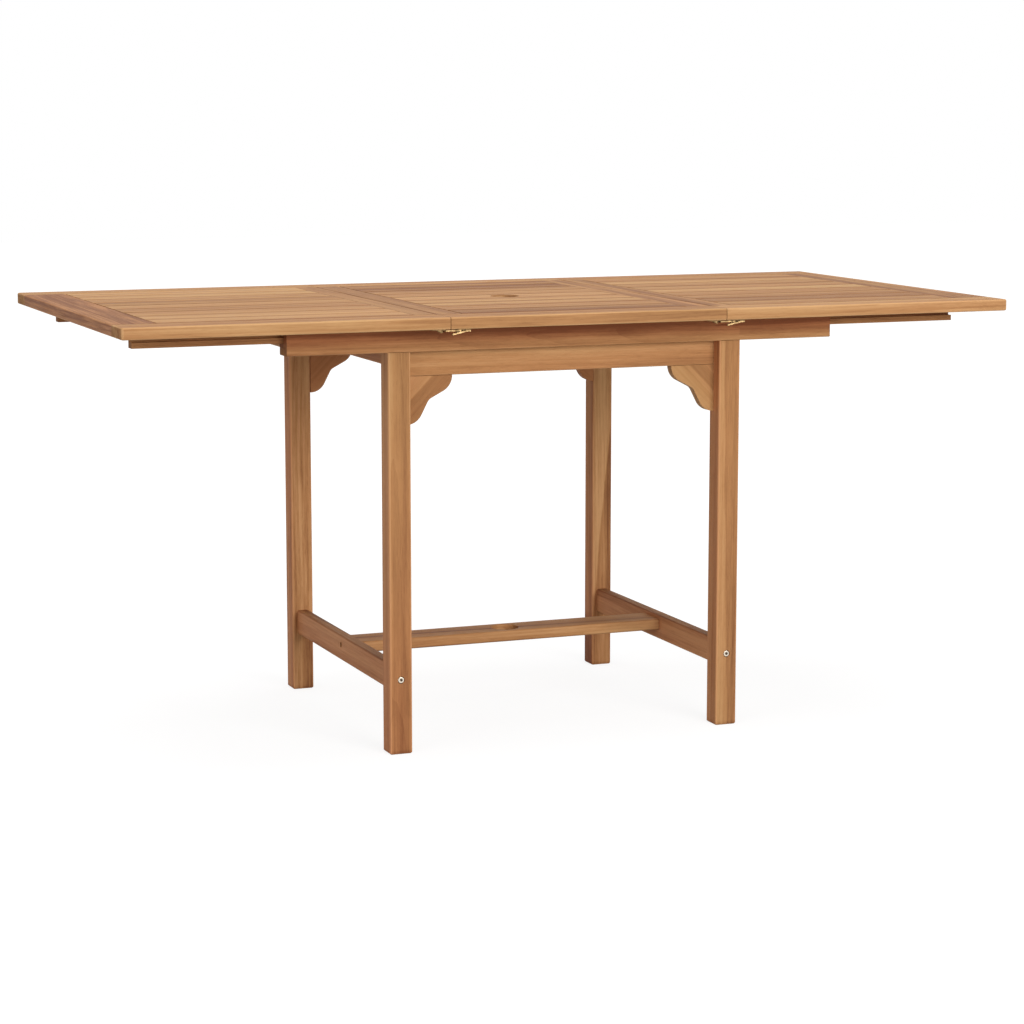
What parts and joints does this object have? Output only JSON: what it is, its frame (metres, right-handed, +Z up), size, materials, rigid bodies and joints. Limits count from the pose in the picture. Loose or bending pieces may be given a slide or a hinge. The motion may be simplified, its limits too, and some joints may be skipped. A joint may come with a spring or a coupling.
{
  "type": "extending garden table",
  "caption": "Slatted wooden garden table whose end leaves slide out along grooved beams to take a lift-out centre leaf held by swinging catches; scalloped brackets, low H-stretcher.",
  "frame": {"origin": "on the floor under the middle of the top", "axes": "+X along the length from left to right, +Y from front to rear, +Z up"},
  "size_m": [1.6, 0.8, 0.75],
  "materials": {
    "teak": "lightly oiled",
    "catch_brass": "satin",
    "steel": "zinc-plated satin"
  },
  "bodies": {
    "base": {"front_left_leg": "teak", "rear_left_leg": "teak", "front_right_leg": "teak", "rear_right_leg": "teak", "front_left_bracket": "teak", "rear_left_bracket": "teak", "front_right_bracket": "teak", "rear_right_bracket": "teak", "front_slide_beam": "teak", "rear_slide_beam": "teak", "front_long_apron": "teak", "rear_long_apron": "teak", "left_short_apron": "teak", "right_short_apron": "teak", "left_end_rail": "teak", "right_end_rail": "teak", "left_stretcher": "teak", "right_stretcher": "teak", "centre_stretcher": "teak", "leg_bolts": "steel", "leg_barrel_nuts": "steel", "cross_bolts": "steel", "cross_barrel_nuts": "steel"},
    "left_leaf": {"left_leaf_front_rail": "teak", "left_leaf_rear_rail": "teak", "left_leaf_end_board": "teak", "left_leaf_seam_board": "teak", "left_leaf_slats": "teak", "left_front_runner": "teak", "left_rear_runner": "teak", "left_runner_screws": "steel", "left_catch_plates": "catch_brass", "left_catch_screws": "steel"},
    "right_leaf": {"right_leaf_front_rail": "teak", "right_leaf_rear_rail": "teak", "right_leaf_end_board": "teak", "right_leaf_seam_board": "teak", "right_leaf_slats": "teak", "right_front_runner": "teak", "right_rear_runner": "teak", "right_runner_screws": "steel", "right_catch_plates": "catch_brass", "right_catch_screws": "steel"},
    "centre_leaf": {"centre_leaf_front_rail": "teak", "centre_leaf_rear_rail": "teak", "centre_leaf_left_board": "teak", "centre_leaf_right_board": "teak", "centre_leaf_slats": "teak", "centre_catch_plates": "catch_brass", "centre_catch_screws": "steel", "centre_stud_plates": "catch_brass", "centre_stud_screws": "steel"},
    "left_front_catch_lever": {"left_front_catch_lever": "catch_brass"},
    "left_rear_catch_lever": {"left_rear_catch_lever": "catch_brass"},
    "right_front_catch_lever": {"right_front_catch_lever": "catch_brass"},
    "right_rear_catch_lever": {"right_rear_catch_lever": "catch_brass"}
  },
  "joints": [
    {"name": "left_leaf_slide", "type": "slide", "parent": "base", "child": "left_leaf", "axis": [1, 0, 0], "range_m": [0, 0.25]},
    {"name": "right_leaf_slide", "type": "slide", "parent": "base", "child": "right_leaf", "axis": [-1, 0, 0], "range_m": [0, 0.25]},
    {"name": "centre_leaf_lift", "type": "slide", "parent": "base", "child": "centre_leaf", "axis": [0, 0, 1], "range_m": [0, 0.75]},
    {"name": "left_front_catch_lever_swing", "type": "hinge", "parent": "centre_leaf", "child": "left_front_catch_lever", "pos_m": [-0.227, -0.376, 0.726], "axis": [0, 0, -1], "range_deg": [0, 90]},
    {"name": "left_rear_catch_lever_swing", "type": "hinge", "parent": "left_leaf", "child": "left_rear_catch_lever", "pos_m": [-0.273, 0.376, 0.726], "axis": [0, 0, -1], "range_deg": [0, 90]},
    {"name": "right_front_catch_lever_swing", "type": "hinge", "parent": "right_leaf", "child": "right_front_catch_lever", "pos_m": [0.273, -0.376, 0.726], "axis": [0, 0, -1], "range_deg": [0, 90]},
    {"name": "right_rear_catch_lever_swing", "type": "hinge", "parent": "centre_leaf", "child": "right_rear_catch_lever", "pos_m": [0.227, 0.376, 0.726], "axis": [0, 0, -1], "range_deg": [0, 90]}
  ],
  "couplings": [
    {"joint": "right_leaf_slide", "follows": "left_leaf_slide", "ratio": 1},
    {"joint": "centre_leaf_lift", "follows": "left_leaf_slide", "ratio": 3}
  ]
}
